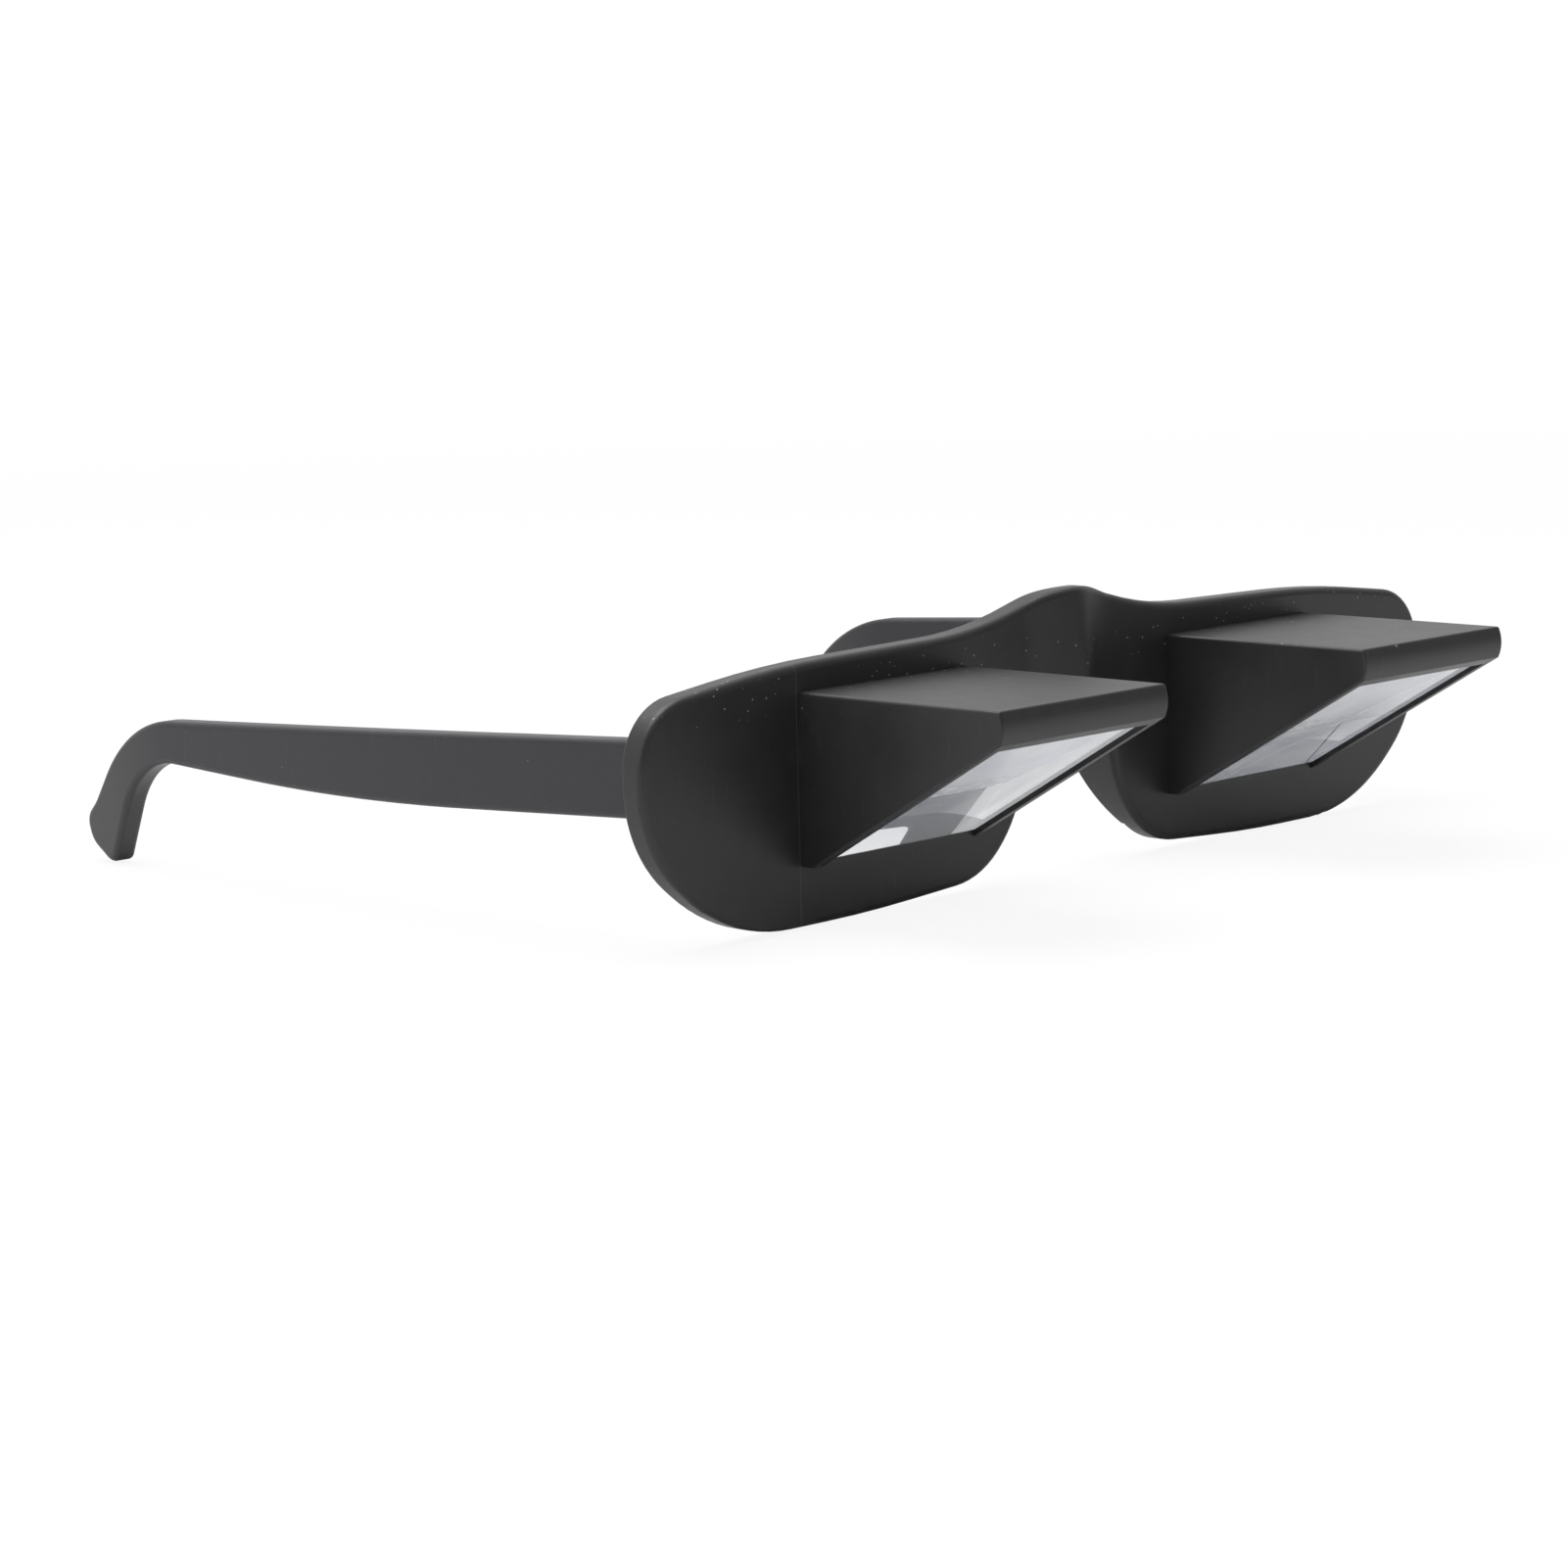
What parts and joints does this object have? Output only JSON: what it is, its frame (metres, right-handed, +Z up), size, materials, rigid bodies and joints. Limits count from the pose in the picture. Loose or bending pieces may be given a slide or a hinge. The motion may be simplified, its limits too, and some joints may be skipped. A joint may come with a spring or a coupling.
{
  "type": "prism bed glasses",
  "caption": "Spectacle frame with wedge-shaped prism housings that turn the wearer's view down, for reading while lying flat, with two folding temples",
  "frame": {"origin": "Centre of the glasses' length and depth, on the level surface that they stand on: the bounding box's bottom centre. The plates' front face lies 42 mm in front of it.", "axes": "+X to the wearer's left, +Y back towards the wearer's head, +Z up"},
  "size_m": [0.1576, 0.1512, 0.0379],
  "materials": {
    "black_plastic": "matte",
    "clear_acrylic": "polished",
    "mirror_film": "polished",
    "hinge_steel": "satin",
    "screw_steel": "satin"
  },
  "bodies": {
    "front": {"front_shell": "black_plastic", "right_prism": "clear_acrylic", "right_mirror_film": "mirror_film", "right_back_plate": "black_plastic", "right_hinge_frame_leaf": "hinge_steel", "right_hinge_screw": "screw_steel", "right_frame_leaf_screws": "screw_steel", "left_prism": "clear_acrylic", "left_mirror_film": "mirror_film", "left_back_plate": "black_plastic", "left_hinge_frame_leaf": "hinge_steel", "left_hinge_screw": "screw_steel", "left_frame_leaf_screws": "screw_steel"},
    "right_temple_body": {"right_temple": "black_plastic", "right_hinge_temple_leaf": "hinge_steel", "right_temple_leaf_screws": "screw_steel"},
    "left_temple_body": {"left_temple": "black_plastic", "left_hinge_temple_leaf": "hinge_steel", "left_temple_leaf_screws": "screw_steel"}
  },
  "joints": [
    {"name": "right_temple_fold", "type": "hinge", "parent": "front", "child": "right_temple_body", "pos_m": [-0.0701, -0.03665, 0.02125], "axis": [0, 0, -1], "range_deg": [0, 88]},
    {"name": "left_temple_fold", "type": "hinge", "parent": "front", "child": "left_temple_body", "pos_m": [0.0701, -0.03665, 0.02125], "axis": [0, 0, 1], "range_deg": [0, 80]}
  ]
}
